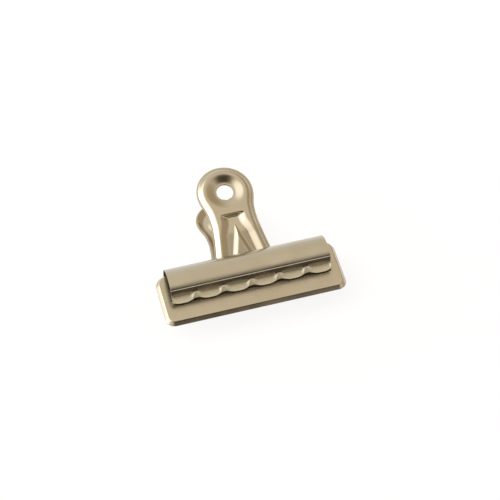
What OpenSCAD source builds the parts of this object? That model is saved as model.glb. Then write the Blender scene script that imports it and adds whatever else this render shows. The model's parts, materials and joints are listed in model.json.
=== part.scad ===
// Bulldog-type paper clip, lying closed on its back: two pressed jaw levers held by a sprung barrel.
// X runs along the jaws, the jaws point to -Y and the handles to +Y, and the clip lies on z = 0.

/* [Jaws] */
// Width of the jaws
jaw_w = 76.2; // [60:0.1:110]
// Distance from the barrel's axis to the jaws' gripping edge
jaw_reach = 16.6; // [13:0.1:24]
// Depth of one jaw pressing, from the gripping plane to its outer face
jaw_depth = 1.6; // [1.3:0.05:2.6]
// Radius where the gripping edge and the sides turn inwards
bend_r = 0.8; // [0.7:0.05:1.2]
// Corner radius at the gripping edge
jaw_corner_r = 4; // [2.5:0.1:6]
// Corner radius at the edge beside the barrel
wing_corner_r = 5.5; // [3:0.1:7]
// Sheet thickness of the levers
lever_t = 0.6; // [0.4:0.05:0.65]

/* [Handles] */
// Distance from the fulcrum to the middle of the hanging hole
handle_len = 30.6; // [27:0.1:40]
// Slope of the neck from the gripping plane
neck_angle = 23; // [18:0.5:26]
// Slope of the head from the gripping plane
head_angle = 12; // [8:0.5:16]
// Length of the steeper part, from the fulcrum
neck_len = 13; // [10:0.5:16]
// Radius of the hanging hole
hole_r = 3.65; // [2.5:0.05:4.2]
// Outer radius of the head
head_r = 11.8; // [10.5:0.1:13]
// Width of the handle where it is narrowest
waist_w = 20.4; // [17:0.1:23]
// Width of the handle in the barrel's slot
neck_w = 25.4; // [23.5:0.1:30]
// Height of the raised ridge around the head and down the legs
ridge_h = 1.8; // [1:0.1:2.2]
// Height of the triangular stiffening boss between the legs
boss_h = 0.9; // [0.4:0.1:1.4]

/* [Spring barrel] */
// Outer radius of the barrel
barrel_r = 9.6; // [8.5:0.1:12]
// Length of the barrel
barrel_len = 67.2; // [50:0.1:100]
// Sheet thickness of the spring
spring_t = 0.6; // [0.4:0.05:0.8]
// Angle round the barrel from its crown to the crease
crease_angle = 122; // [115:1:135]
// Length of the foot that lies on the jaw, between two lobes
foot_len = 1.8; // [1:0.1:3]
// How far a lobe stands out from the foot
lobe_depth = 1.05; // [0.8:0.05:2.5]
// Number of lobes along each foot
lobes = 6; // [4:1:8]

/* [Fits] */
// Gap between a foot of the spring and the jaw under it
foot_gap = 0.1; // [0.05:0.05:0.3]
// Gap between the two levers at the fulcrum and at the gripping edge
lever_gap = 0.16; // [0.1:0.02:0.3]
// Gap between a jaw's inner edge and the inside of the barrel
edge_gap = 0.3; // [0.2:0.05:0.6]
// Gap between the handles and each end of the barrel's slot
slot_gap = 0.5; // [0.3:0.1:1]

/* [Hidden] */
$fn = 64;
OVER = 1;
STEEL = [0.72, 0.68, 0.6];
SPRING_STEEL = [0.66, 0.62, 0.54];

// the jaw: its outer face, its inner face and the edge that lies inside the barrel
inner_depth = jaw_depth - lever_t;
inside_r = barrel_r - spring_t;
jaw_top = sqrt(pow(inside_r - edge_gap, 2) - pow(jaw_depth, 2));

// the fulcrum, where the two necks bear on each other just inside the barrel's crown
crown_gap = 1;
web_run = 5;
fulcrum_y = inside_r - crown_gap;
neck_mid = lever_gap / 2 + lever_t / 2;
neck_start_y = fulcrum_y - web_run;

// side view of a lever's middle line, from the jaw plate over the fulcrum to the head
knee = [fulcrum_y + neck_len * cos(neck_angle), neck_mid + neck_len * sin(neck_angle)];
head_len = handle_len - neck_len;
head = knee + head_len * [cos(head_angle), sin(head_angle)];

// the head's ridge: an arch of round section that runs round the hole
hub_w = 1.3;
hub_r = hole_r + hub_w;
flange_w = 0.6;
ridge_chord = head_r - flange_w - hub_r;
ridge_r = hub_r + ridge_chord / 2;
leg_chord = 4.8;
arch_foot = lever_t / 3;
function arch_r(chord) = (pow(chord / 2, 2) + pow(ridge_h, 2)) / (2 * ridge_h);

// the lie: the barrel and the rear head's ridge touch one flat surface
tube_y = head[0] + ridge_r * cos(head_angle) + (arch_r(ridge_chord) - ridge_h) * sin(head_angle);
tube_z = head[1] + ridge_r * sin(head_angle) - (arch_r(ridge_chord) - ridge_h) * cos(head_angle);
tube_r = arch_r(ridge_chord) + lever_t / 2;
lie_angle = atan2(tube_z, tube_y) - asin((barrel_r - tube_r) / norm([tube_y, tube_z]));

// the spring's section: crease, wall and foot
foot_z = jaw_depth + foot_gap;
crease = barrel_r * [cos(crease_angle), sin(crease_angle)];
wall_sink = 0.3 * spring_t;

// the lobes: their spacing leaves part of one out at the ends, and each is part of a circle
lobe_spare = 0.25;
lobe_share = 0.8;
lobe_pitch = barrel_len / (lobes - lobe_spare);
lobe_r = (pow(lobe_pitch * lobe_share / 2, 2) + pow(lobe_depth, 2)) / (2 * lobe_depth);

// how far the lying clip reaches along Y from the barrel's axis: to the rear head's rim and the jaws
rim = head + head_r * [cos(head_angle), sin(head_angle)];
rim_reach = rim[0] * cos(lie_angle) + rim[1] * sin(lie_angle) + lever_t / 2 * sin(head_angle - lie_angle);
tip_reach = jaw_reach * cos(lie_angle) + (jaw_depth - bend_r / 2) * sin(lie_angle);

// turns the clip from its gripping plane into the way it lies, centred over the origin
module lie() {
    translate([0, (tip_reach - rim_reach) / 2, barrel_r]) rotate([lie_angle, 0, 0]) children();
}

// a 2D outline in (y, z) carried along X over a width
module along_x(width) {
    rotate([90, 0, 90]) translate([0, 0, -width / 2]) linear_extrude(width) children();
}

// a strip of sheet that follows a line of points, square to each of its stretches
function normal(p, q) = [p[1] - q[1], q[0] - p[0]] / norm(q - p);
function strip_side(points, offset) = [
    for (i = [0 : len(points) - 1])
        let (
            a = normal(points[max(i - 1, 0)], points[max(i, 1)]),
            b = normal(points[min(i, len(points) - 2)], points[min(i + 1, len(points) - 1)]),
            m = (a + b) / 2
        )
        points[i] + offset * m / (m * m)
];
module strip(points, t) {
    top = strip_side(points, t / 2);
    bottom = strip_side(points, -t / 2);
    polygon(concat(top, [for (i = [len(bottom) - 1 : -1 : 0]) bottom[i]]));
}

// outline of a jaw, seen from its front, drawn in by an inset
module jaw_outline(inset) {
    hull() {
        for (side = [-1, 1]) {
            translate([side * (jaw_w / 2 - jaw_corner_r), jaw_corner_r - jaw_reach])
                circle(jaw_corner_r - inset);
            translate([side * (jaw_w / 2 - wing_corner_r), jaw_top - wing_corner_r])
                circle(wing_corner_r - inset);
        }
    }
}

// block with the jaw's outline whose front face turns down along its edges in a stepped bend
module jaw_block(inset, front) {
    r = bend_r - inset;
    for (a = [15 : 30 : 75])
        linear_extrude(front - r + r * sin(a + 15))
            jaw_outline(inset + r * (1 - cos(a - 15)));
}

// one jaw: a shallow tray of sheet, open towards the other jaw
module jaw() {
    translate([0, 0, lever_gap / 2])
        difference() {
            jaw_block(0, jaw_depth - lever_gap / 2);
            translate([0, 0, -OVER]) jaw_block(lever_t, inner_depth - lever_gap / 2 + OVER);
            translate([-barrel_len / 2, jaw_top - lever_t - bend_r, -OVER])
                cube([barrel_len, lever_t + bend_r + OVER, inner_depth - lever_gap / 2 + OVER]);
        }
}

// an arch of sheet over a chord, cut off above the underside of the sheet beside it
module arch(chord) {
    r = arch_r(chord);
    translate([0, ridge_h - r])
        intersection() {
            difference() {
                circle(r + lever_t / 2);
                circle(r - lever_t / 2);
            }
            translate([-chord, r - ridge_h - arch_foot]) square([2 * chord, 2 * r]);
        }
}

// moves from the middle line's frame at the head, or at the fulcrum, into the lever's frame
module at_head() {
    translate([0, head[0], head[1]]) rotate([head_angle, 0, 0]) children();
}
module at_neck() {
    translate([0, fulcrum_y, neck_mid]) rotate([neck_angle, 0, 0]) children();
}

// the head: a flat hub round the hole, the raised ridge and a thin flange at the rim
module head_ring() {
    at_head()
        rotate_extrude() {
            translate([hole_r, -lever_t / 2]) square([hub_r - hole_r + lever_t / 2, lever_t]);
            translate([ridge_r, 0]) arch(ridge_chord);
            translate([head_r - flange_w - lever_t / 2, -lever_t / 2])
                square([flange_w + lever_t / 2, lever_t]);
        }
}

// middle line of a leg: its distance from the clip's middle at the slot and above the knee
foot_x = neck_w / 2 - leg_chord / 2;
waist_x = waist_w / 2 - leg_chord / 2;
leg_start = 0.6;
leg_lean = atan((foot_x - waist_x) / (neck_len - leg_start));
web_overlap = leg_chord / 2 - lever_t / 2;

// outline of the web in the flat: full width inside the barrel, then the width between the legs
module web_outline() {
    right = [
        [neck_w / 2, neck_start_y - fulcrum_y - OVER],
        [neck_w / 2, leg_start],
        [foot_x - web_overlap, leg_start],
        [waist_x - web_overlap, neck_len],
        [waist_x - web_overlap, handle_len]
    ];
    last = len(right) - 1;
    polygon(concat(right, [for (i = [last : -1 : 0]) [-right[i][0], right[i][1]]]));
}

// the web: sheet from the jaw plate over the fulcrum and up to the head
module web() {
    line = [
        [neck_start_y - OVER, jaw_depth - lever_t / 2],
        [neck_start_y, jaw_depth - lever_t / 2],
        [fulcrum_y, neck_mid],
        knee,
        head
    ];
    intersection() {
        along_x(neck_w + OVER) strip(line, lever_t);
        translate([0, fulcrum_y, -OVER]) linear_extrude(head[1] + 2 * head_r) web_outline();
    }
}

// a straight rib of arched sheet, running along Y
module rib(length) {
    rotate([90, 0, 180]) linear_extrude(length) arch(leg_chord);
}

// everything on one side of the knee, as a block leaned half the knee's bend
module knee_side(lean, behind) {
    size = 2 * handle_len;
    rotate([lean, 0, 0]) translate([-size / 2, behind ? -size : 0, -size / 2]) cube(size);
}

// one leg of the handle: a rib from the slot to the knee, mitred to a rib up to the head
module leg(side) {
    bend = (neck_angle - head_angle) / 2;
    at_neck()
        intersection() {
            translate([side * foot_x, leg_start, 0]) rotate([0, 0, side * leg_lean]) rib(neck_len);
            translate([0, neck_len, 0]) knee_side(-bend, true);
        }
    at_head()
        intersection() {
            translate([side * waist_x, -head_len - OVER, 0]) rib(head_len);
            translate([0, -head_len, 0]) knee_side(bend, false);
        }
}

// the raised triangle between the legs, its point towards the head
boss_margin = 2.4;
module boss() {
    half = foot_x - leg_chord / 2 - boss_margin;
    at_neck() linear_extrude(lever_t / 2 + boss_h)
        polygon([[-half, leg_start], [half, leg_start], [0, neck_len - boss_margin / 2]]);
}

// one lever: jaw, neck and handle pressed from one sheet
module lever() {
    difference() {
        union() {
            jaw();
            difference() {
                union() {
                    web();
                    leg(-1);
                    leg(1);
                    boss();
                }
                at_head() translate([0, 0, -head_r]) cylinder(h = 2 * head_r, r = ridge_r);
            }
            head_ring();
        }
        at_head() translate([0, 0, -head_r]) cylinder(h = 2 * head_r, r = hole_r);
    }
}

// half the spring's section, from the crown over the crease to the foot
module spring_flank() {
    difference() {
        circle(barrel_r);
        circle(inside_r);
        rotate(crease_angle) square([2 * barrel_r, 2 * barrel_r]);
        translate([-2 * barrel_r, -4 * barrel_r]) square(4 * barrel_r);
    }
    translate([crease[0], foot_z]) square([spring_t, crease[1] - foot_z - wall_sink]);
}

// foot: a narrow strip with round lobes along its free edge, lying on the jaw
module spring_foot() {
    translate([0, 0, foot_z])
        linear_extrude(spring_t) {
            translate([-barrel_len / 2, crease[0] - foot_len])
                square([barrel_len, foot_len + spring_t]);
            intersection() {
                translate([-barrel_len / 2, crease[0] - foot_len - lobe_depth])
                    square([barrel_len, foot_len + lobe_depth]);
                for (i = [0 : lobes - 1])
                    translate([
                        (i - (lobes - 1) / 2) * lobe_pitch,
                        crease[0] - foot_len - lobe_depth + lobe_r
                    ])
                        circle(lobe_r);
            }
        }
}

// the spring: a barrel of sheet with a slot in its crown for the two handles
module spring_barrel() {
    color(SPRING_STEEL) lie()
        for (side = [0, 1])
            mirror([0, 0, side]) {
                difference() {
                    along_x(barrel_len) spring_flank();
                    translate([-neck_w / 2 - slot_gap, 0, -OVER])
                        cube([neck_w + 2 * slot_gap, barrel_r + OVER, slot_half + OVER]);
                }
                spring_foot();
            }
}
slot_half = neck_mid + (barrel_r - fulcrum_y) * tan(neck_angle) + ridge_h + lever_t;

// the lever that lies uppermost
module front_lever() {
    color(STEEL) lie() lever();
}

// the lever underneath, the same pressing turned over
module rear_lever() {
    color(STEEL) lie() mirror([0, 0, 1]) lever();
}

spring_barrel();
front_lever();
rear_lever();
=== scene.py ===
"""Bulldog clip of nickel-plated steel: two pressed levers and a sprung barrel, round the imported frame."""

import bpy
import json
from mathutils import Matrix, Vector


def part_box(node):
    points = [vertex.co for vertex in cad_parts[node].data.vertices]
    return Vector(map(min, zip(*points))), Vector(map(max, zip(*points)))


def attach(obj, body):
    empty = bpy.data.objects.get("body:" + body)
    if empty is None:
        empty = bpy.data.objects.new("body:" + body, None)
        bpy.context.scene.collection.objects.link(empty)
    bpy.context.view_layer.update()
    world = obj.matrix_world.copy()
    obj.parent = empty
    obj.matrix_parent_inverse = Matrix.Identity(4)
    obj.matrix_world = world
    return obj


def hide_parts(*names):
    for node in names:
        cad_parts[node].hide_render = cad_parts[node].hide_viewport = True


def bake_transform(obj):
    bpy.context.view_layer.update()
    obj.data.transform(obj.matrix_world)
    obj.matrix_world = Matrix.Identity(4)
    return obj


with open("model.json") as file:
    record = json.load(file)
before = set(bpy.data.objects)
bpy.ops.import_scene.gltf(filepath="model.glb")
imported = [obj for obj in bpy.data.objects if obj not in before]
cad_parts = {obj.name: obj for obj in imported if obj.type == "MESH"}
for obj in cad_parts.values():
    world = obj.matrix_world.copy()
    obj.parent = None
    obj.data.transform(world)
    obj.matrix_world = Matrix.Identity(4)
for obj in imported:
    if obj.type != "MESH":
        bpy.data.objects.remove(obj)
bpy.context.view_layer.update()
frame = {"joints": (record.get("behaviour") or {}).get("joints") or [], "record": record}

import json
from math import atan2, cos, pi, radians, sin

import bpy
import numpy as np
from bpy.props import FloatProperty, FloatVectorProperty, IntProperty, PointerProperty, StringProperty
from mathutils import Matrix, Vector

bl_info = {
    "name": "Bulldog clip",
    "version": (1, 0, 0),
    "blender": (4, 5, 0),
    "location": "View3D > Sidebar > Bulldog clip",
    "description": "Builds a pressed-steel bulldog clip round its packed frame",
    "category": "Add Mesh",
}

# Lengths are millimetres in the clip's own frame: x along the jaws, v from the barrel's axis towards the
# handles along the gripping plane, and w up from the gripping plane. clip_to_row() turns them to metres.
MM = 0.001
MOUNTS = {mount["name"]: mount for mount in frame["record"]["mounts"]}
HINGE = np.array(frame["joints"][0]["pos_m"]) / MM
MOUTH = MOUNTS["jaw_mouth"]
LIE = atan2(-MOUTH["axis"][2], -MOUTH["axis"][1])
BARREL_BOX = [np.array(corner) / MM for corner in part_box("spring_barrel")]
LEVER_BOX = [np.array(corner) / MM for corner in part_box("front_lever")]
BARREL_LENGTH = BARREL_BOX[1][0] - BARREL_BOX[0][0]
JAW_WIDTH = LEVER_BOX[1][0] - LEVER_BOX[0][0]
HOLE_RADIUS = MOUNTS["front_hang_hole"]["dims"]["r_mm"]
SHEET = MOUNTS["front_hang_hole"]["dims"]["length_mm"]
# the hinge lies on the gripping plane, FULCRUM out from the barrel's axis, and the barrel rests on the
# floor, so the hinge's height gives the barrel's radius
FULCRUM = 8.0
BARREL_RADIUS = HINGE[2] - FULCRUM * sin(LIE)
AXIS_Y = HINGE[1] - FULCRUM * cos(LIE)


def clip_to_row(points):
    """Turns (x, v, w) points by the lie angle about X, moves them to the barrel's axis, and gives metres."""
    x, v, w = np.moveaxis(np.asarray(points, float), -1, 0)
    y = v * cos(LIE) - w * sin(LIE) + AXIS_Y
    z = v * sin(LIE) + w * cos(LIE) + BARREL_RADIUS
    return np.stack([x, y, z], axis=-1) * MM


def clip_direction(x, v, w):
    """A direction of the clip's frame, turned by the lie angle into the row frame."""
    return Vector((x, v * cos(LIE) - w * sin(LIE), v * sin(LIE) + w * cos(LIE)))


def ease(t):
    """0 below 0, 1 above 1, and 3t^2 - 2t^3 between, so it starts and ends level."""
    t = np.clip(t, 0, 1)
    return t * t * (3 - 2 * t)


def resample(path, step):
    """The path as points an even step apart: its running length is cut into equal parts and read back."""
    lengths = np.concatenate([[0], np.cumsum(np.linalg.norm(np.diff(path, axis=0), axis=1))])
    count = int(round(lengths[-1] / step)) + 1
    at = np.linspace(0, lengths[-1], count)
    return np.stack([np.interp(at, lengths, path[:, k]) for k in range(path.shape[1])], axis=1)


def grid_quads(rows, columns):
    """Corner numbers of every cell in a rows x columns grid of points, in order round the cell."""
    first = (np.arange(rows - 1)[:, None] * columns + np.arange(columns - 1)).reshape(-1)
    return np.stack([first, first + 1, first + columns + 1, first + columns], axis=1)


# where the rim's three lines of points stand on its half ellipse
RIM_ANGLES = np.radians([40, 90, 140])
# how far a sheared rim stands out at the middle of its thickness, mm
RIM_BULGE = 0.08
# folds sharper than this stay sharp
FOLD = radians(50)


def sheet_shell(outer, inner, quads, bulge=RIM_BULGE):
    """Closes two matching skins into a sheet: the outer skin's cells, the inner skin's turned over, and a
    rim along each edge that only one cell has. The rim follows half an ellipse across the sheet, bulge
    high: at angle a it lies (1 - cos a) / 2 of the way from skin to skin and bulge * sin a beyond the
    edge."""
    count = len(outer)
    edges = quads[:, [0, 1, 1, 2, 2, 3, 3, 0]].reshape(-1, 2)
    _, first, uses = np.unique(np.sort(edges, axis=1), axis=0, return_index=True, return_counts=True)
    rim = edges[first[uses == 1]]
    across = outer - inner
    away = np.zeros_like(outer)
    beyond = np.cross(outer[rim[:, 1]] - outer[rim[:, 0]], across[rim[:, 0]])
    np.add.at(away, rim[:, 0], beyond)
    np.add.at(away, rim[:, 1], beyond)
    used = np.unique(rim)
    away = away[used] / np.linalg.norm(away[used], axis=1, keepdims=True)
    layers, start = [outer, inner], 2 * count
    place = np.full(count, -1)
    place[used] = np.arange(len(used))
    rings = [rim]
    for a in RIM_ANGLES:
        share = (1 - cos(a)) / 2
        layers.append(outer[used] - share * across[used] + bulge * sin(a) * away)
        rings.append(place[rim] + start)
        start += len(used)
    rings.append(rim + count)
    faces = [quads, quads[:, ::-1] + count]
    for near, far in zip(rings, rings[1:]):
        faces.append(np.stack([near[:, 1], near[:, 0], far[:, 0], far[:, 1]], axis=1))
    # rims are marked 1 for their dark colour, which is partly the sheared steel's own and partly a painted
    # shadow line
    rim_shade_and_foot_highlight = np.zeros(start)
    rim_shade_and_foot_highlight[2 * count:] = 1
    return np.concatenate(layers), np.concatenate(faces), rim_shade_and_foot_highlight


def make_piece(name, points, faces, rim_shade_and_foot_highlight, material):
    """A mesh object at the origin from points of the clip's frame, smooth but for sharp folds.
    A point attribute is 1 on the sheet's sheared rims, which are painted dark as their own colour and a
    painted shadow line, 0.5 on the spring's foot, which is painted lighter as a painted highlight, and 0
    elsewhere."""
    mesh = bpy.data.meshes.new(name)
    mesh.from_pydata(clip_to_row(points).tolist(), [], [list(face) for face in faces])
    mesh.attributes.new("rim_shade_and_foot_highlight", "FLOAT", "POINT").data.foreach_set("value", rim_shade_and_foot_highlight.astype(np.float32))
    mesh.shade_smooth()
    mesh.set_sharp_from_angle(angle=FOLD)
    mesh.materials.append(material)
    piece = bpy.data.objects.new(name, mesh)
    bpy.context.scene.collection.objects.link(piece)
    return piece


def turned_over(points, side):
    """The same sheet for side = 1, and for side = -1 the sheet turned half round about the v axis, as the
    second of two equal pressings lies against the first: x and w change sign."""
    return points * [side, 1, side]


# ---------------------------------------------------------------- handles


class HandleSizes(bpy.types.PropertyGroup):
    reach: FloatProperty(
        name="Reach", description="Fulcrum to the middle of the hanging hole, mm",
        default=30.6,
    )
    neck: FloatProperty(name="Neck", description="Length of the steeper stretch, mm", default=13.0)
    neck_slope: FloatProperty(
        name="Neck slope", description="Slope of the neck from the gripping plane",
        default=radians(23), subtype="ANGLE",
    )
    head_slope: FloatProperty(
        name="Head slope", description="Slope of the head from the gripping plane",
        default=radians(12), subtype="ANGLE",
    )
    head_radius: FloatProperty(
        name="Head radius", description="Radius of the round head, mm",
        default=11.8,
    )
    slot_half_width: FloatProperty(
        name="Half width at the barrel", description="Half width of the handle at the barrel, mm",
        default=12.7,
    )
    waist_half_width: FloatProperty(
        name="Half width at the waist", description="Half width of the handle at its waist, mm",
        default=10.2,
    )
    waist_at: FloatProperty(name="Waist", description="Fulcrum to the waist, mm", default=16.0)
    neck_fillet: FloatProperty(
        name="Neck fillet", description="How softly the legs run into the head, mm",
        default=1.8,
    )
    lean: FloatProperty(
        name="Lean", description="Sideways shift for each millimetre down from the hole",
        default=0.02,
    )
    rear_turn: FloatProperty(
        name="Rear turn", description="Sideways shift of the rear handle for each millimetre out",
        default=0.02,
    )
    ridge_height: FloatProperty(
        name="Ridge height", description="Height of the pressed ridge, mm",
        default=1.8,
    )
    ridge_flank: FloatProperty(
        name="Ridge flank", description="Width of the ridge's outer flank, mm",
        default=2.4,
    )
    dish_radius: FloatProperty(
        name="Dish", description="Outer radius of the dish round the hole, mm",
        default=8.5,
    )
    dish_flank: FloatProperty(
        name="Dish flank", description="Width of the dish's flank, mm",
        default=4.8,
    )
    dish_depth: FloatProperty(
        name="Dish depth", description="Share of the ridge that the dish takes down",
        default=0.85,
    )
    panel_inset: FloatProperty(
        name="Panel inset", description="Rim to the crest of a leg, mm",
        default=2.6,
    )
    panel_flank: FloatProperty(
        name="Panel flank", description="Width of a leg's inner flank, mm",
        default=3.8,
    )
    shoulder_at: FloatProperty(
        name="Shoulder", description="Fulcrum to the step below the head, mm",
        default=18.8,
    )
    shoulder_length: FloatProperty(
        name="Shoulder length", description="Length of the step, mm",
        default=1.3,
    )
    boss_height: FloatProperty(
        name="Boss height", description="Height of the triangular boss, mm",
        default=1.2,
    )
    boss_length: FloatProperty(
        name="Boss length", description="Length of the triangular boss, mm",
        default=15.7,
    )
    boss_half_width: FloatProperty(
        name="Boss half width", description="Half width of the boss at the barrel, mm",
        default=5.0,
    )
    boss_flank: FloatProperty(
        name="Boss flank", description="Width of the boss's flanks, mm",
        default=2.4,
    )
    grid: FloatProperty(name="Grid", description="Spacing of the handle's grid, mm", default=0.22)


# lengths along the handle are from the fulcrum, where the two handles bear on each other
NECK_START = -5.0
# how long the handle takes to change its slope, at the fulcrum and at the knee
FULCRUM_BEND = 1.6
KNEE_BEND = 4.0
# height of the sheet's middle over the gripping plane, at the jaw and at the fulcrum
PLATE_MIDDLE = 1.3
NECK_MIDDLE = 0.38
# how fast the legs close in towards the waist: 1 would be a straight taper
TAPER = 1.25
# flat flange outside the ridge
FLANGE = 0.6
# share by which the ridge's flank is hollowed
FLANK_HOLLOW = 0.12
# the pressing begins just inside the barrel
PRESS_START, PRESS_LENGTH = -0.8, 1.4
# the panel's flanks move inwards over this stretch below the shoulder
CLOSING_START, CLOSING_LENGTH, CLOSING = 10, 8, 1.6
# the boss's flanks start a little outside its triangle
BOSS_MARGIN = 0.3
# how far a handle's rim stands out at the middle of its thickness
HANDLE_BULGE = 0.12
# the middle line is summed up over these lengths, in steps this long
LINE_FROM, LINE_TO, LINE_STEP = -8, 48, 0.02
# points along the leg, round a quarter of the head and round half the hole, before they are evened out
LEG_POINTS, HEAD_POINTS, HOLE_POINTS = 400, 90, 200


def middle_line(sizes, along):
    """Place (v, w) and slope of the handle's middle line at a length along it from the fulcrum. The slope
    is that of the strip inside the barrel, then the neck's, then the head's, eased from one to the next.
    The place is the running sum of the slope's cosines and sines, moved so that the line passes through
    the hole's middle."""
    inside = atan2(NECK_MIDDLE - PLATE_MIDDLE, -NECK_START)
    fine = np.arange(LINE_FROM, LINE_TO + LINE_STEP / 2, LINE_STEP)
    slope = (
        inside
        + (sizes.neck_slope - inside) * ease(fine / FULCRUM_BEND + 0.5)
        + (sizes.head_slope - sizes.neck_slope) * ease((fine - sizes.neck) / KNEE_BEND + 0.5)
    )
    v = np.cumsum(np.cos(slope)) * LINE_STEP
    w = np.cumsum(np.sin(slope)) * LINE_STEP
    end = np.searchsorted(fine, sizes.reach)
    head = sizes.reach - sizes.neck
    hole = np.array([
        FULCRUM + sizes.neck * cos(sizes.neck_slope) + head * cos(sizes.head_slope),
        NECK_MIDDLE + sizes.neck * sin(sizes.neck_slope) + head * sin(sizes.head_slope),
    ])
    v += hole[0] - v[end]
    w += hole[1] - w[end]
    return np.interp(along, fine, v), np.interp(along, fine, w), np.interp(along, fine, slope)


def handle_edge(sizes):
    """Right half of the handle's outline as (x, length) points. Up to the hole's level the half width is the
    leg's, easing from the barrel to the waist, or the head circle's, whichever is more, rounded where they
    meet by the square root of the squared difference plus a small square. Above it is the head circle."""
    along = np.linspace(NECK_START, sizes.reach, LEG_POINTS)
    spread = np.clip(1 - along / sizes.waist_at, 0, 1) ** TAPER
    leg = sizes.waist_half_width + (sizes.slot_half_width - sizes.waist_half_width) * np.minimum(spread, 1)
    circle = np.sqrt(np.maximum(sizes.head_radius**2 - (sizes.reach - along) ** 2, 0))
    gap = circle - leg
    half = leg + (gap + np.sqrt(gap**2 + sizes.neck_fillet**2)) / 2
    half -= half[-1] - sizes.head_radius
    half[along < 0] = sizes.slot_half_width
    turn = np.linspace(0, pi / 2, HEAD_POINTS)[1:]
    cap = sizes.head_radius * np.stack([np.cos(turn), np.sin(turn)], axis=1) + [0, sizes.reach]
    return resample(np.concatenate([np.stack([half, along], axis=1), cap]), sizes.grid)


def handle_spine(sizes, edge):
    """For each outline point the matching (x, length) point of the inner path: straight across to the middle
    up to the shoulder, then on up the middle and round the hole's right side in equal shares."""
    turn_at = np.searchsorted(edge[:, 1], sizes.shoulder_at + 1)
    below = np.stack([np.zeros(turn_at), edge[:turn_at, 1]], axis=1)
    turn = np.linspace(-pi / 2, pi / 2, HOLE_POINTS)
    hole = np.stack([HOLE_RADIUS * np.cos(turn), sizes.reach + HOLE_RADIUS * np.sin(turn)], axis=1)
    hole[[0, -1], 0] = 0
    path = np.concatenate([below[-1:], hole])
    share = np.linspace(0, 1, len(edge) - turn_at + 1)[1:]
    lengths = np.concatenate([[0], np.cumsum(np.linalg.norm(np.diff(path, axis=0), axis=1))])
    at = share * lengths[-1]
    above = np.stack([np.interp(at, lengths, path[:, k]) for k in (0, 1)], axis=1)
    above[-1] = hole[-1]
    return np.concatenate([below, above])


def edge_distance(points, path):
    """Shortest distance from each point to the path's stretches, from the nearest point of each stretch."""
    a, b = path[:-1], path[1:]
    d = b - a
    share = ((points[:, None] - a) * d).sum(-1) / (d * d).sum(-1)
    near = a + np.clip(share, 0, 1)[..., None] * d
    return np.linalg.norm(points[:, None] - near, axis=-1).min(axis=1)


def handle_height(sizes, x, along, from_edge):
    """Height of the pressing over its flange. The ridge rises from the flange as the sine of a quarter turn,
    a little hollowed. The dish round the hole and the panel between the legs take it down again, eased, and
    the panel ends in a steep step at the shoulder. The boss is a triangle with eased sides."""
    rise = np.clip((from_edge - FLANGE) / sizes.ridge_flank, 0, 1)
    hollow = FLANK_HOLLOW * np.sin(rise * pi) * (1 - rise)
    ridge = sizes.ridge_height * (np.sin(rise * pi / 2) - hollow)
    radius = np.hypot(x, along - sizes.reach)
    dish = sizes.dish_depth * ease((sizes.dish_radius - radius) / sizes.dish_flank)
    closing = CLOSING * ease((along - CLOSING_START) / CLOSING_LENGTH)
    shoulder = ease((sizes.shoulder_at - along) / sizes.shoulder_length + 1)
    panel = ease((from_edge - sizes.panel_inset - closing) / sizes.panel_flank) * shoulder
    lean = atan2(sizes.boss_half_width, sizes.boss_length)
    inside = (sizes.boss_half_width * (1 - along / sizes.boss_length) - np.abs(x)) * cos(lean)
    boss = sizes.boss_height * ease((inside + BOSS_MARGIN) / sizes.boss_flank)
    pressed = ease((along - PRESS_START) / PRESS_LENGTH)
    return pressed * (ridge * (1 - np.maximum(dish, panel)) + boss)


def handle_sheet(sizes):
    """The handle as a closed sheet. Its plan is ruled from the outline to the inner path, right half and
    mirrored left half joined on the middle. Each plan point stands its height off the middle line, square
    to it, with half the sheet on each side. Last it leans: each point moves sideways in proportion to its
    distance below the hole."""
    edge = handle_edge(sizes)
    spine = handle_spine(sizes, edge)
    columns = int(round(sizes.slot_half_width / sizes.grid))
    across = np.linspace(0, 1, columns)[None, :, None]
    half = (spine[:, None] * across + edge[:, None] * (1 - across)).reshape(-1, 2)
    right_quads = grid_quads(len(edge), columns)
    plan = np.concatenate([half, half * [-1, 1]])
    quads = np.concatenate([right_quads[:, ::-1], right_quads + len(half)])
    plan, place = np.unique(np.round(plan, 5) + 0.0, axis=0, return_inverse=True)
    quads = place.reshape(-1)[quads]
    x, along = plan.T
    from_edge = edge_distance(np.abs(plan), edge)
    height = handle_height(sizes, x, along, from_edge)
    v, w, slope = middle_line(sizes, along)
    lean = sizes.lean * (sizes.reach - along)

    def skin(offset):
        h = height + offset
        return np.stack([x + lean, v - h * np.sin(slope), w + h * np.cos(slope)], axis=1)

    return sheet_shell(skin(SHEET / 2), skin(-SHEET / 2), quads, HANDLE_BULGE)


# ---------------------------------------------------------------- jaws


class JawSizes(bpy.types.PropertyGroup):
    reach: FloatProperty(
        name="Reach", description="Barrel's axis to the gripping edge, mm",
        default=16.6,
    )
    depth: FloatProperty(name="Depth", description="Gripping plane to the jaw's face, mm", default=1.6)
    top: FloatProperty(name="Top", description="Barrel's axis to the hidden edge, mm", default=8.5)
    bend: FloatProperty(name="Edge bend", description="Radius where the edges turn in, mm", default=0.7)
    skirt: FloatProperty(
        name="Skirt", description="Slope of the turned-in edge",
        default=radians(50), subtype="ANGLE",
    )
    corner: FloatProperty(
        name="Lower corners", description="Corner radius at the gripping edge, mm",
        default=4.0,
    )
    wing: FloatProperty(
        name="Upper corners", description="Corner radius beside the barrel, mm",
        default=5.5,
    )
    lip: FloatProperty(
        name="Lip", description="Height of the turned-in edge over the gripping plane, mm",
        default=0.08,
    )


# the strip along the hidden edge, and the stretch over which that edge begins to turn in, mm
TOP_STRIP, TURN_IN = 1.5, 2
# points round one corner of the outline and along its hidden edge
CORNER_POINTS, TOP_POINTS = 28, 118


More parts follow.
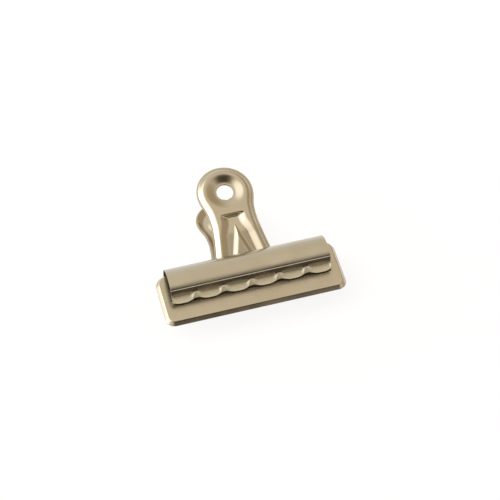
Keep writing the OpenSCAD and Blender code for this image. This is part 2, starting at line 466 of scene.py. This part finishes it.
def jaw_outline(sizes):
    """Points and outward directions round the jaw's outline, a rectangle with four quarter-circle corners,
    and how far the edge turns in there: fully, but only a little where the barrel covers it."""
    right, left = JAW_WIDTH / 2, -JAW_WIDTH / 2
    corners = [
        (right - sizes.corner, sizes.corner - sizes.reach, sizes.corner, -pi / 2),
        (right - sizes.wing, sizes.top - sizes.wing, sizes.wing, 0),
        (left + sizes.wing, sizes.top - sizes.wing, sizes.wing, pi / 2),
        (left + sizes.corner, sizes.corner - sizes.reach, sizes.corner, pi),
    ]
    quarter = np.linspace(0, pi / 2, CORNER_POINTS)
    covered = BARREL_LENGTH / 2 - 1
    points, away = [], []
    for x, v, radius, start in corners:
        out = np.stack([np.cos(start + quarter), np.sin(start + quarter)], axis=1)
        points.append(np.array([x, v]) + radius * out)
        away.append(out)
        if start == 0:
            run = np.linspace(right - sizes.wing, left + sizes.wing, TOP_POINTS + 2)[1:-1]
            points.append(np.stack([run, np.full(TOP_POINTS, sizes.top)], axis=1))
            away.append(np.tile([0.0, 1.0], (TOP_POINTS, 1)))
    points, away = np.concatenate(points), np.concatenate(away)
    on_top = points[:, 1] > sizes.top - TOP_STRIP
    turned_in = np.where(on_top, ease((np.abs(points[:, 0]) - covered) / TURN_IN + 1), 1)
    return points, away, turned_in


# points on the edge's arc and round the sheared rim
ARC_POINTS = 12
RIM_POINTS = 7
# the flat edge under the barrel ends this far inside the outline
FLAT_INSET = 0.15
# lines of points that hold the flat face and the skirt flat right up to the arc and the rim
FACE_HOLD, FACE_INNER, SKIRT_HOLD = 0.2, 1.4, 0.08


def jaw_profile(sizes):
    """Inset from the outline and height over the gripping plane, from the middle of the face round the edge
    to the middle of the back, once with the edge turned in on an arc and a straight skirt that ends the
    lip's height over the gripping plane, and once left flat."""
    bend, inner, half = sizes.bend, sizes.bend - SHEET, SHEET / 2
    back = sizes.depth - SHEET
    # down the skirt, and from its outer skin to its inner one
    down = np.array([-cos(sizes.skirt), -sin(sizes.skirt)])
    into = np.array([sin(sizes.skirt), -cos(sizes.skirt)])
    drop = sizes.depth - bend - sizes.lip + bend * cos(sizes.skirt)
    length = drop / sin(sizes.skirt)
    middle = np.array([bend * sin(sizes.skirt) + length * cos(sizes.skirt), sizes.depth - bend])
    end = middle - bend * into + length * down
    turn = np.linspace(0, sizes.skirt, ARC_POINTS)
    arc = np.stack([-np.sin(turn), np.cos(turn)], axis=1)
    rim = np.linspace(0, pi, RIM_POINTS)[:, None]
    cut = end + into * half * (1 - np.cos(rim)) + down * HANDLE_BULGE * np.sin(rim)
    outer_face = [[middle[0] + FACE_INNER, sizes.depth], [middle[0] + FACE_HOLD, sizes.depth]]
    inner_face = [[middle[0] + FACE_HOLD, back], [middle[0] + FACE_INNER, back]]
    bent = np.concatenate([
        outer_face,
        middle + bend * arc,
        [end - down * SKIRT_HOLD],
        cut,
        [cut[-1] - down * SKIRT_HOLD],
        (middle + inner * arc)[::-1],
        inner_face,
    ])
    run = np.linspace(middle[0], FLAT_INSET, ARC_POINTS + 2)[:-1, None]
    flat = np.concatenate([
        outer_face,
        run * [1, 0] + [0, sizes.depth],
        np.concatenate([FLAT_INSET * (1 - np.sin(rim)), sizes.depth - half + half * np.cos(rim)], axis=1),
        run[::-1] * [1, 0] + [0, back],
        inner_face,
    ])
    return bent, flat


def jaw_sheet(sizes):
    """The jaw as a closed sheet: the profile carried round the outline, each point moved in from it by its
    inset, with a flat face closing the front and the back."""
    points, away, turned_in = jaw_outline(sizes)
    bent, flat = jaw_profile(sizes)
    profile = flat[:, None] + (bent - flat)[:, None] * turned_in[None, :, None]
    plan = points[None] - profile[..., :1] * away[None]
    rings = np.concatenate([plan, profile[..., 1:]], axis=-1)
    count, rows = len(points), len(profile)
    first = np.arange(rows - 1)[:, None] * count + np.arange(count)
    after = np.arange(rows - 1)[:, None] * count + (np.arange(count) + 1) % count
    quads = np.stack([first, first + count, after + count, after], axis=-1).reshape(-1, 4)
    faces = [*quads, np.arange(count), (rows - 1) * count + np.arange(count)[::-1]]
    # the sheared rim rows are marked 1 for their dark colour, which is partly the sheared steel's own and
    # partly a painted shadow line
    rim_shade_and_foot_highlight = np.zeros((rows, count))
    rim_start = ARC_POINTS + 3
    rim_shade_and_foot_highlight[rim_start : rim_start + RIM_POINTS] = 1
    return rings.reshape(-1, 3), faces, rim_shade_and_foot_highlight.reshape(-1)


# ---------------------------------------------------------------- spring


class BarrelSizes(bpy.types.PropertyGroup):
    sheet: FloatProperty(name="Sheet", description="Thickness of the spring's sheet, mm", default=0.6)
    crease_turn: FloatProperty(
        name="Crease", description="Turn from the crown to the crease",
        default=radians(121.6), subtype="ANGLE",
    )
    crease_radius: FloatProperty(
        name="Crease radius", description="Outer radius of the crease, mm",
        default=0.8,
    )
    wall_foot: FloatProperty(
        name="Wall", description="Barrel's axis to the foot of the wall, mm",
        default=5.25,
    )
    foot_edge: FloatProperty(
        name="Foot edge", description="Barrel's axis to the foot's edge between lobes, mm",
        default=6.9,
    )
    lobe_depth: FloatProperty(
        name="Lobe depth", description="How far a lobe stands out, mm",
        default=1.0,
    )
    lobes: IntProperty(name="Lobes", description="Number of lobes on a foot", default=6)
    foot_height: FloatProperty(
        name="Foot height", description="Gripping plane to the underside of a lobe, mm",
        default=1.7,
    )
    foot_lift: FloatProperty(
        name="Foot lift", description="How far the foot stands off the jaw between lobes, mm",
        default=0.4,
    )
    fillet: FloatProperty(name="Foot bend", description="Radius between wall and foot, mm", default=0.7)
    lobe_slope: FloatProperty(
        name="Lobe slope", description="Fall of a lobe towards the jaw",
        default=radians(15), subtype="ANGLE",
    )
    steep_slope: FloatProperty(
        name="Foot slope", description="Fall of the foot between lobes",
        default=radians(50), subtype="ANGLE",
    )
    slot_half_length: FloatProperty(
        name="Slot half length", description="Half length of the slot in the crown, mm",
        default=13.7,
    )
    slot_half_width: FloatProperty(
        name="Slot half width", description="Half width of the slot in the crown, mm",
        default=3.6,
    )


# places close to an edge of the sheet where lines of points are added, mm
NEAR_EDGE = np.array([0.06, 0.2, 0.45])
# even steps along the barrel keep this far from an edge, with so many points beside the slot and beyond it
EDGE_CLEAR, SLOT_POINTS, END_POINTS = 0.7, 26, 42
# share of a wave that the barrel's two ends together cut off the outer lobes
LOBES_CUT = 0.25
# rows of points down the section
CIRCLE_ROWS, CREASE_ROWS, WALL_ROWS, BEND_ROWS, FOOT_ROWS = 91, 11, 14, 9, 10
# the foot and half of the bend above it, which lie on the jaw, get a painted highlight: a lighter colour,
# with a rougher finish
FOOT_HIGHLIGHT_ROWS = FOOT_ROWS + 5
# the wall's first row lies this share of the wall below the crease
WALL_START = 0.08
# a lobe reaches its own slope at this share of its depth
LOBE_SHARE = 0.45


def spring_columns(sizes):
    """Places along the barrel: even steps, drawn closer at the barrel's ends and at the slot's ends."""
    half, slot = BARREL_LENGTH / 2, sizes.slot_half_length
    right = np.concatenate([
        np.linspace(0, slot - EDGE_CLEAR, SLOT_POINTS),
        slot - NEAR_EDGE[::-1], [slot], slot + NEAR_EDGE,
        np.linspace(slot + EDGE_CLEAR, half - EDGE_CLEAR, END_POINTS),
        half - NEAR_EDGE[::-1], [half],
    ])
    return np.concatenate([-right[:0:-1], right])


def spring_section(sizes, lobe):
    """Outer skin of half the spring's section as (v, w) points for each place along the barrel, where lobe
    is 1 at the middle of a lobe and 0 between two. The barrel's circle runs from the crown to the crease, a
    small circle touches it and the wall, the wall runs down, and the foot leaves it on part of a small
    circle. Where there is no lobe the foot is shorter, lifted, and falls more steeply."""
    radius, bend = BARREL_RADIUS, sizes.crease_radius
    corner = radius * np.array([cos(sizes.crease_turn), sin(sizes.crease_turn)])
    base = np.array([-sizes.wall_foot, sizes.foot_height + sizes.sheet])
    down = (base - corner) / np.linalg.norm(base - corner)
    inwards = np.array([-down[1], down[0]])
    # the small circle's middle is at radius - bend from the axis and at bend from the wall
    start = base + bend * inwards
    b = start @ down
    reach = b + np.sqrt(b * b - start @ start + (radius - bend) ** 2)
    middle = start - reach * down
    crease_from = atan2(middle[1], middle[0])
    crease_to = atan2(-inwards[1], -inwards[0]) % (2 * pi)
    turn = np.linspace(0, crease_from, CIRCLE_ROWS)
    circle = radius * np.stack([np.cos(turn), np.sin(turn)], axis=1)
    turn = np.linspace(crease_from, crease_to, CREASE_ROWS + 1)[1:]
    crease = middle + bend * np.stack([np.cos(turn), np.sin(turn)], axis=1)
    fixed = np.concatenate([circle, crease])

    edge = sizes.foot_edge + sizes.lobe_depth * lobe
    lift = sizes.foot_lift * (1 - lobe)
    slope = sizes.steep_slope + (sizes.lobe_slope - sizes.steep_slope) * ease(lobe / LOBE_SHARE)
    fillet = sizes.fillet
    tip = sizes.foot_height + sizes.sheet + lift
    round_run = fillet * (1 - np.sin(slope))
    flat_run = edge - sizes.wall_foot - round_run
    level = tip + flat_run * np.tan(slope) - fillet * (1 - np.cos(slope))
    share = np.linspace(WALL_START, 1, WALL_ROWS)[:, None]
    top = crease[-1]
    wall_v = top[0] + (-sizes.wall_foot - top[0]) * share + 0 * lobe
    wall_w = top[1] + (level + fillet - top[1]) * share
    turn = np.linspace(0, 1, BEND_ROWS + 1)[1:, None] * (pi / 2 - slope)
    round_v = -sizes.wall_foot - fillet * (1 - np.cos(turn))
    round_w = level + fillet * (1 - np.sin(turn))
    share = np.linspace(0, 1, FOOT_ROWS + 1)[1:, None]
    flat_v = round_v[-1] - flat_run * share
    flat_w = round_w[-1] - flat_run * np.tan(slope) * share
    moving = np.stack([
        np.concatenate([wall_v, round_v, flat_v]),
        np.concatenate([wall_w, round_w, flat_w]),
    ], axis=-1)
    repeated = np.repeat(fixed[:, None], lobe.size, axis=1)
    return np.concatenate([repeated, moving])


def spring_half(sizes):
    """Half the spring, from the crown to one foot, as a closed sheet: the section at each place along the
    barrel, its inner skin one sheet thickness in along the section's normal, and the slot's cells left out.
    The lobes follow half a cosine wave plus a half, one wave to each lobe, fattened by a quarter of a sine.
    A point attribute is 1 on the rims, which are painted dark as their own colour and a painted shadow line,
    and 0.5 on the foot, which lies on the jaw and is painted lighter as a painted highlight."""
    x = spring_columns(sizes)
    pitch = BARREL_LENGTH / (sizes.lobes - LOBES_CUT)
    wave = 0.5 + 0.5 * np.cos(2 * pi * (x / pitch - (sizes.lobes - 1) / 2))
    lobe = np.sin(wave * pi / 2)
    outer = spring_section(sizes, lobe)
    along = np.gradient(outer, axis=0)
    along /= np.linalg.norm(along, axis=-1, keepdims=True)
    inner = outer + sizes.sheet * np.stack([-along[..., 1], along[..., 0]], axis=-1)
    rows, columns = outer.shape[:2]
    wide = np.repeat(x[None], rows, axis=0)[..., None]
    quads = grid_quads(rows, columns)
    middle_x = np.abs(x[quads % columns]).max(axis=1)
    middle_w = outer[..., 1].reshape(-1)[quads].mean(axis=1)
    near_crown = quads[:, 0] // columns < CIRCLE_ROWS / 2
    slot = (middle_x < sizes.slot_half_length + 1e-6) & (middle_w < sizes.slot_half_width) & near_crown
    quads = quads[~slot]
    skins = [np.concatenate([wide, skin], axis=-1).reshape(-1, 3) for skin in (outer, inner)]
    points, faces, rim_shade_and_foot_highlight = sheet_shell(skins[0], skins[1], quads[:, ::-1])
    # the foot's rows are marked 0.5, for a lighter colour that is a painted highlight
    foot_highlight_mask = np.arange(rows * columns) // columns >= rows - FOOT_HIGHLIGHT_ROWS
    rim_shade_and_foot_highlight[: 2 * rows * columns] = np.tile(np.where(foot_highlight_mask, 0.5, 0), 2)
    used = np.unique(faces)
    place = np.zeros(len(points), int)
    place[used] = np.arange(len(used))
    return points[used], place[faces], rim_shade_and_foot_highlight[used]


# ---------------------------------------------------------------- materials


def linear(code):
    """An sRGB hex colour such as B4A58A as a linear colour with alpha 1."""
    parts = [int(code[i : i + 2], 16) / 255 for i in (0, 2, 4)]
    return (*[p / 12.92 if p <= 0.04045 else ((p + 0.055) / 1.055) ** 2.4 for p in parts], 1.0)


def add_node(tree, kind, settings=(), values=(), links=()):
    """A node of that kind with its settings, its sockets' values and what is linked into its sockets."""
    node = tree.nodes.new(kind)
    for name, value in dict(settings).items():
        setattr(node, name, value)
    for socket, value in dict(values).items():
        node.inputs[socket].default_value = value
    for socket, source in dict(links).items():
        tree.links.new(source, node.inputs[socket])
    return node


class SteelFinish(bpy.types.PropertyGroup):
    plate: StringProperty(
        name="Lever plating", description="Colour of the levers' nickel, sRGB hex",
        default="C8BFAF",
    )
    plate_deep: StringProperty(
        name="Lever plating, dull", description="Colour of its duller patches, sRGB hex",
        default="BDB29C",
    )
    spring: StringProperty(
        name="Spring plating", description="Colour of the spring's nickel, sRGB hex",
        default="C6BFB1",
    )
    spring_deep: StringProperty(
        name="Spring plating, dull", description="Colour of its duller patches, sRGB hex",
        default="BAB09C",
    )
    # lighter colour of the spring's foot: a painted highlight
    foot_highlight: StringProperty(
        name="Rubbed plating", description="Colour where the spring rubs, sRGB hex",
        default="E4DCC8",
    )
    # dark colour of the sheared rims: partly the sheet's own darker cut steel, partly a painted shadow line
    # along and under them
    edge: StringProperty(
        name="Sheared edge", description="Colour of the sheet's cut edges, sRGB hex",
        default="4A4236",
    )
    roughness: FloatProperty(
        name="Roughness", description="Roughness of the bright plating",
        default=0.23, min=0, max=1,
    )


def nickel_plated_steel(name, bright, dull, foot_highlight, edge, roughness, grain_turn):
    """Cold-rolled steel sheet, pressed and then barrel-plated with bright nickel. The nickel gives a warm
    mirror, the rolled sheet under it fine lines along the pressing, and handling gives dull clouds. A
    lighter colour on the spring's foot is a painted highlight. The dark colour of the sheared rims is partly
    their own and partly a painted shadow line."""
    material = bpy.data.materials.new(name)
    material.use_nodes = True
    tree = material.node_tree
    tree.nodes.clear()
    place = add_node(tree, "ShaderNodeTexCoord").outputs["Object"]
    # clouds of tarnish about 12 mm across
    cloud = add_node(
        tree, "ShaderNodeTexNoise",
        values={"Scale": 1 / (12 * MM), "Detail": 3, "Roughness": 0.55},
        links={"Vector": place},
    )
    # rolling lines, really about 0.05 mm apart, drawn 0.25 mm apart so that they show
    stretched = add_node(
        tree, "ShaderNodeMapping",
        values={"Rotation": grain_turn, "Scale": (0.03, 1, 1)},
        links={"Vector": place},
    )
    lines = add_node(
        tree, "ShaderNodeTexNoise",
        values={"Scale": 1 / (0.5 * MM), "Detail": 2, "Roughness": 0.6},
        links={"Vector": stretched.outputs[0]},
    )
    # orange peel of the plating, 1.5 mm across
    peel = add_node(
        tree, "ShaderNodeTexNoise",
        values={"Scale": 1 / (3 * MM), "Detail": 2, "Roughness": 0.5},
        links={"Vector": place},
    )
    colour = add_node(
        tree, "ShaderNodeMix", {"data_type": "RGBA"},
        {6: linear(bright), 7: linear(dull)},
        {0: cloud.outputs["Fac"]},
    )
    # the piece's own attribute marks the foot, which is painted lighter as a painted highlight, and the
    # sheared rims, which are painted dark as their own darker steel and a painted shadow line
    shade_and_highlight_marks = add_node(tree, "ShaderNodeAttribute", {"attribute_name": "rim_shade_and_foot_highlight"}).outputs["Fac"]
    # the foot's mask: a lighter colour that is a painted highlight, and a rougher finish
    foot_highlight_mask = add_node(
        tree, "ShaderNodeMapRange", values={"From Min": 0.2, "From Max": 0.5}, links={"Value": shade_and_highlight_marks}
    ).outputs[0]
    # the rims' mask: a dark colour, partly the cut steel's own and partly a painted shadow line
    cut = add_node(
        tree, "ShaderNodeMapRange", values={"From Min": 0.52, "From Max": 0.7}, links={"Value": shade_and_highlight_marks}
    ).outputs[0]
    colour = add_node(
        tree, "ShaderNodeMix", {"data_type": "RGBA"}, {7: linear(foot_highlight)}, {0: foot_highlight_mask, 6: colour.outputs[2]}
    )
    colour = add_node(
        tree, "ShaderNodeMix", {"data_type": "RGBA"}, {7: linear(edge)}, {0: cut, 6: colour.outputs[2]}
    )
    gloss = add_node(
        tree, "ShaderNodeMapRange",
        values={"From Min": 0.3, "From Max": 0.7, "To Min": roughness * 0.85, "To Max": roughness * 1.25},
        links={"Value": cloud.outputs["Fac"]},
    )
    rough = add_node(
        tree, "ShaderNodeMix", {"data_type": "FLOAT"}, {3: 0.5}, {0: foot_highlight_mask, 2: gloss.outputs[0]}
    )
    low = add_node(
        tree, "ShaderNodeBump",
        values={"Strength": 0.12, "Distance": 0.12 * MM},
        links={"Height": peel.outputs["Fac"]},
    )
    fine = add_node(
        tree, "ShaderNodeBump",
        values={"Strength": 0.08, "Distance": 0.03 * MM},
        links={"Height": lines.outputs["Fac"], "Normal": low.outputs[0]},
    )
    steel = add_node(
        tree, "ShaderNodeBsdfPrincipled", values={"Metallic": 1.0},
        links={"Base Color": colour.outputs[2], "Roughness": rough.outputs[0], "Normal": fine.outputs[0]},
    )
    add_node(tree, "ShaderNodeOutputMaterial", links={"Surface": steel.outputs[0]})
    return material


def lever_steel():
    """The levers' plating, made once and shared by both."""
    finish = bpy.context.scene.clip_finish
    name = "nickel_plated_lever_steel"
    return bpy.data.materials.get(name) or nickel_plated_steel(
        name, finish.plate, finish.plate_deep, finish.foot_highlight, finish.edge, finish.roughness,
        (0, 0, radians(90)),
    )


def spring_steel():
    """The spring's plating, with its rolling lines along the barrel."""
    finish = bpy.context.scene.clip_finish
    name = "nickel_plated_spring_steel"
    return bpy.data.materials.get(name) or nickel_plated_steel(
        name, finish.spring, finish.spring_deep, finish.foot_highlight, finish.edge, finish.roughness, (0, 0, 0)
    )


# ---------------------------------------------------------------- operators

SIDES = {"front": 1, "rear": -1}


class CLIP_OT_handles(bpy.types.Operator):
    """Makes the two handles and lets each ride on its lever"""

    bl_idname = "clip.handles"
    bl_label = "Handles"

    def execute(self, context):
        points, faces, rim_shade_and_foot_highlight = handle_sheet(context.scene.clip_handle)
        for body, side in SIDES.items():
            shown = turned_over(points, side)
            if body == "rear":
                shown[:, 0] -= context.scene.clip_handle.rear_turn * shown[:, 1]
            piece = make_piece(body + "_handle", shown, faces, rim_shade_and_foot_highlight, lever_steel())
            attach(piece, body)
            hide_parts(body + "_lever")
        return {"FINISHED"}


class CLIP_OT_jaws(bpy.types.Operator):
    """Makes the two jaws and lets each ride on its lever"""

    bl_idname = "clip.jaws"
    bl_label = "Jaws"

    def execute(self, context):
        points, faces, rim_shade_and_foot_highlight = jaw_sheet(context.scene.clip_jaw)
        for body, side in SIDES.items():
            shown = turned_over(points, side)
            piece = make_piece(body + "_jaw", shown, faces, rim_shade_and_foot_highlight, lever_steel())
            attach(piece, body)
            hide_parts(body + "_lever")
        return {"FINISHED"}


class CLIP_OT_spring(bpy.types.Operator):
    """Makes the spring in two halves, each from the crown to one foot"""

    bl_idname = "clip.spring"
    bl_label = "Spring"

    def execute(self, context):
        sizes = context.scene.clip_barrel
        points, faces, rim_shade_and_foot_highlight = spring_half(sizes)
        for body, side in SIDES.items():
            name = "spring_" + body + "_half"
            shown = turned_over(points, side)
            piece = make_piece(name, shown, faces, rim_shade_and_foot_highlight, spring_steel())
            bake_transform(piece)
            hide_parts("spring_barrel")
        return {"FINISHED"}


class StageSettings(bpy.types.PropertyGroup):
    azimuth: FloatProperty(
        name="Azimuth", description="Camera's turn round the clip",
        default=radians(-15.3), subtype="ANGLE",
    )
    elevation: FloatProperty(
        name="Elevation", description="Camera's height over the gripping plane",
        default=radians(54), subtype="ANGLE",
    )
    distance: FloatProperty(
        name="Distance", description="Camera to the barrel",
        default=0.7, unit="LENGTH",
    )
    lens: FloatProperty(name="Lens", description="Focal length, mm", default=122.4)
    aim: FloatVectorProperty(
        name="Aim", description="Aim right and up of the barrel's middle, mm",
        default=(0.77, 10.39), size=2,
    )
    floor: StringProperty(
        name="Floor", description="Colour of the paper floor, sRGB hex",
        default="707070",
    )


def studio_light(name, size, energy, colour, place, target):
    """A soft rectangular lamp at place, in metres, that faces target."""
    data = bpy.data.lights.new(name, "AREA")
    data.shape = "RECTANGLE"
    data.size, data.size_y = size
    data.energy = energy
    data.color = colour
    lamp = bpy.data.objects.new(name, data)
    bpy.context.scene.collection.objects.link(lamp)
    lamp.location = place
    lamp.rotation_euler = (Vector(target) - Vector(place)).to_track_quat("-Z", "Y").to_euler()


def studio_world():
    """Soft room light: a warm dome, dimmer on the right, with a bright white wall on the left and the dark
    shape of whoever stands behind the camera. Each patch is mixed in by the dot product of the view's
    direction with the patch's own, eased between a start and an end."""
    world = bpy.data.worlds.new("studio_room")
    bpy.context.scene.world = world
    world.use_nodes = True
    tree = world.node_tree
    tree.nodes.clear()
    direction = add_node(tree, "ShaderNodeTexCoord").outputs["Generated"]
    dome = (0.95, 0.87, 0.72, 1)
    patches = [
        ("left_wall", (-0.78, 0.25, 0.5), (0.7, 0.86), (1.85, 1.8, 1.7, 1)),
        ("back", (0.0, 1.0, 0.15), (0.75, 1.0), (0.95, 0.93, 0.88, 1)),
        ("right", (0.9, 0.3, 0.2), (0.4, 0.9), (0.58, 0.48, 0.34, 1)),
        ("behind_camera", (0.0, -0.76, 0.65), (0.74, 0.95), (0.05, 0.035, 0.022, 1)),
    ]
    colour = None
    for name, towards, (start, end), patch in patches:
        towards = Vector(towards).normalized()
        dot = add_node(
            tree, "ShaderNodeVectorMath", {"operation": "DOT_PRODUCT", "label": name},
            {1: towards},
            {0: direction},
        )
        share = add_node(
            tree, "ShaderNodeMapRange", {"interpolation_type": "SMOOTHSTEP"},
            {"From Min": start, "From Max": end}, {"Value": dot.outputs["Value"]},
        )
        mix = add_node(
            tree, "ShaderNodeMix", {"data_type": "RGBA"}, {6: dome, 7: patch}, {0: share.outputs[0]}
        )
        if colour is not None:
            tree.links.new(colour, mix.inputs[6])
        colour = mix.outputs[2]
    background = add_node(tree, "ShaderNodeBackground", links={"Color": colour})
    add_node(tree, "ShaderNodeOutputWorld", links={"Surface": background.outputs[0]})


class CLIP_OT_stage(bpy.types.Operator):
    """Makes the floor, the room light and the camera"""

    bl_idname = "clip.stage"
    bl_label = "Stage"

    def execute(self, context):
        settings = context.scene.clip_stage
        scene = context.scene
        scene.view_settings.view_transform = "Standard"
        paper = bpy.data.materials.new("white_paper")
        paper.use_nodes = True
        surface = paper.node_tree.nodes["Principled BSDF"]
        surface.inputs["Base Color"].default_value = linear(settings.floor)
        surface.inputs["Roughness"].default_value = 0.9
        # the paper is lit from below as well, so it shows almost no shadow
        surface.inputs["Emission Color"].default_value = (1, 1, 1, 1)
        surface.inputs["Emission Strength"].default_value = 0.86
        mesh = bpy.data.meshes.new("floor")
        half = 3.0
        corners = [(-half, -half, 0), (half, -half, 0), (half, half, 0), (-half, half, 0)]
        mesh.from_pydata(corners, [], [(0, 1, 2, 3)])
        mesh.materials.append(paper)
        floor = bpy.data.objects.new("floor", mesh)
        scene.collection.objects.link(floor)
        studio_light("softbox", (1.0, 0.8), 4.5, (1, 0.98, 0.94), (-1.3, 0.45, 0.5), (0, 0, 0))
        studio_world()

        a, e = settings.azimuth, settings.elevation
        back = clip_direction(sin(a) * cos(e), -cos(a) * cos(e), sin(e))
        right = clip_direction(cos(a), sin(a), 0)
        up = back.cross(right)
        barrel = Vector(clip_to_row([0, 0, 0]))
        aim = barrel + (right * settings.aim[0] + up * settings.aim[1]) * MM
        data = bpy.data.cameras.new("camera")
        data.lens = settings.lens
        data.clip_start = 0.01
        camera = bpy.data.objects.new("camera", data)
        scene.collection.objects.link(camera)
        turn = Matrix((right, up, back)).transposed().to_4x4()
        camera.matrix_world = Matrix.Translation(aim + back * settings.distance) @ turn
        scene.camera = camera
        return {"FINISHED"}


class CLIP_PT_panel(bpy.types.Panel):
    """Lists the clip's parts and its stage"""

    bl_idname = "CLIP_PT_panel"
    bl_label = "Bulldog clip"
    bl_space_type = "VIEW_3D"
    bl_region_type = "UI"
    bl_category = "Bulldog clip"

    def draw(self, context):
        for operator in OPERATORS:
            self.layout.operator(operator.bl_idname)


GROUPS = {
    "clip_handle": HandleSizes,
    "clip_jaw": JawSizes,
    "clip_barrel": BarrelSizes,
    "clip_finish": SteelFinish,
    "clip_stage": StageSettings,
}
OPERATORS = [CLIP_OT_jaws, CLIP_OT_handles, CLIP_OT_spring, CLIP_OT_stage]


def register():
    for cls in [*GROUPS.values(), *OPERATORS, CLIP_PT_panel]:
        bpy.utils.register_class(cls)
    for name, group in GROUPS.items():
        setattr(bpy.types.Scene, name, PointerProperty(type=group))


def unregister():
    for name in GROUPS:
        delattr(bpy.types.Scene, name)
    for cls in [CLIP_PT_panel, *OPERATORS[::-1], *list(GROUPS.values())[::-1]]:
        bpy.utils.unregister_class(cls)


def main():
    register()
    bpy.ops.clip.jaws()
    bpy.ops.clip.handles()
    bpy.ops.clip.spring()
    bpy.ops.clip.stage()


if __name__ == "__main__":
    main()
